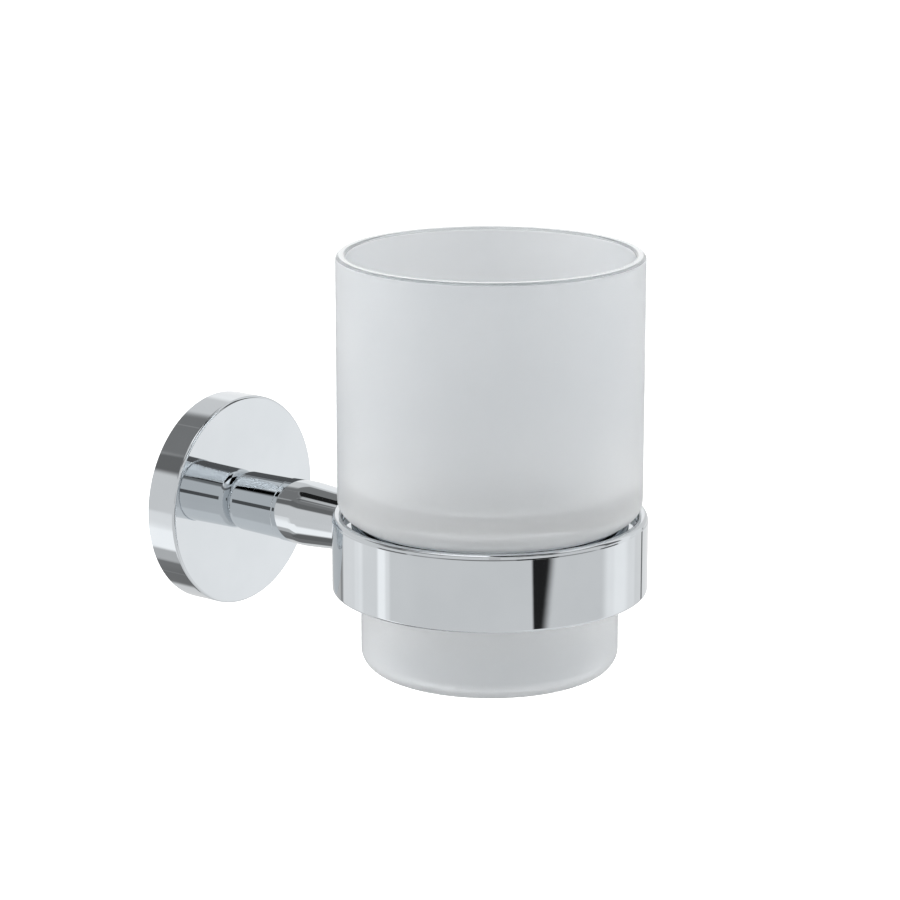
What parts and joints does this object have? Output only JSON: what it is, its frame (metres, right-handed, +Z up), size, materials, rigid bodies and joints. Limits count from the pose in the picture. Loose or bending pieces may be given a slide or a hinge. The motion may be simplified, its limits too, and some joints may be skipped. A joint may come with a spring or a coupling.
{
  "type": "wall toothbrush holder",
  "caption": "Wall-hung toothbrush holder: a stepped frosted glass tumbler hangs by its shoulder in a chrome ring, on a short turned arm and a round rose.",
  "frame": {"origin": "centre of the wall bracket's back face, on the axis of the arm and in the plane of the wall", "axes": "+Y into the wall, +Z up; the holder stands out of the wall towards -Y"},
  "size_m": [0.0684, 0.1122, 0.091],
  "materials": {
    "polished_chrome": "polished chrome plate",
    "frosted_glass": "acid-frosted sides, clear polished rim",
    "screw_steel": "plain stainless",
    "cast_zinc": "cast zinc, satin"
  },
  "bodies": {
    "holder": {"wall_bracket": "cast_zinc", "rose_cover": "polished_chrome", "rose_grub_screw": "screw_steel", "arm_washer": "screw_steel", "arm_screw": "screw_steel", "rose_post": "polished_chrome", "ring_arm": "polished_chrome", "arm_grub_screw": "screw_steel", "ring_screw": "screw_steel", "holder_ring": "polished_chrome", "ring_liner": "polished_chrome"},
    "tumbler": {"tumbler": "frosted_glass"}
  },
  "joints": [
    {"name": "tumbler_lift", "type": "slide", "parent": "holder", "child": "tumbler", "axis": [0, 0, 1], "range_m": [0, 0.06]}
  ]
}
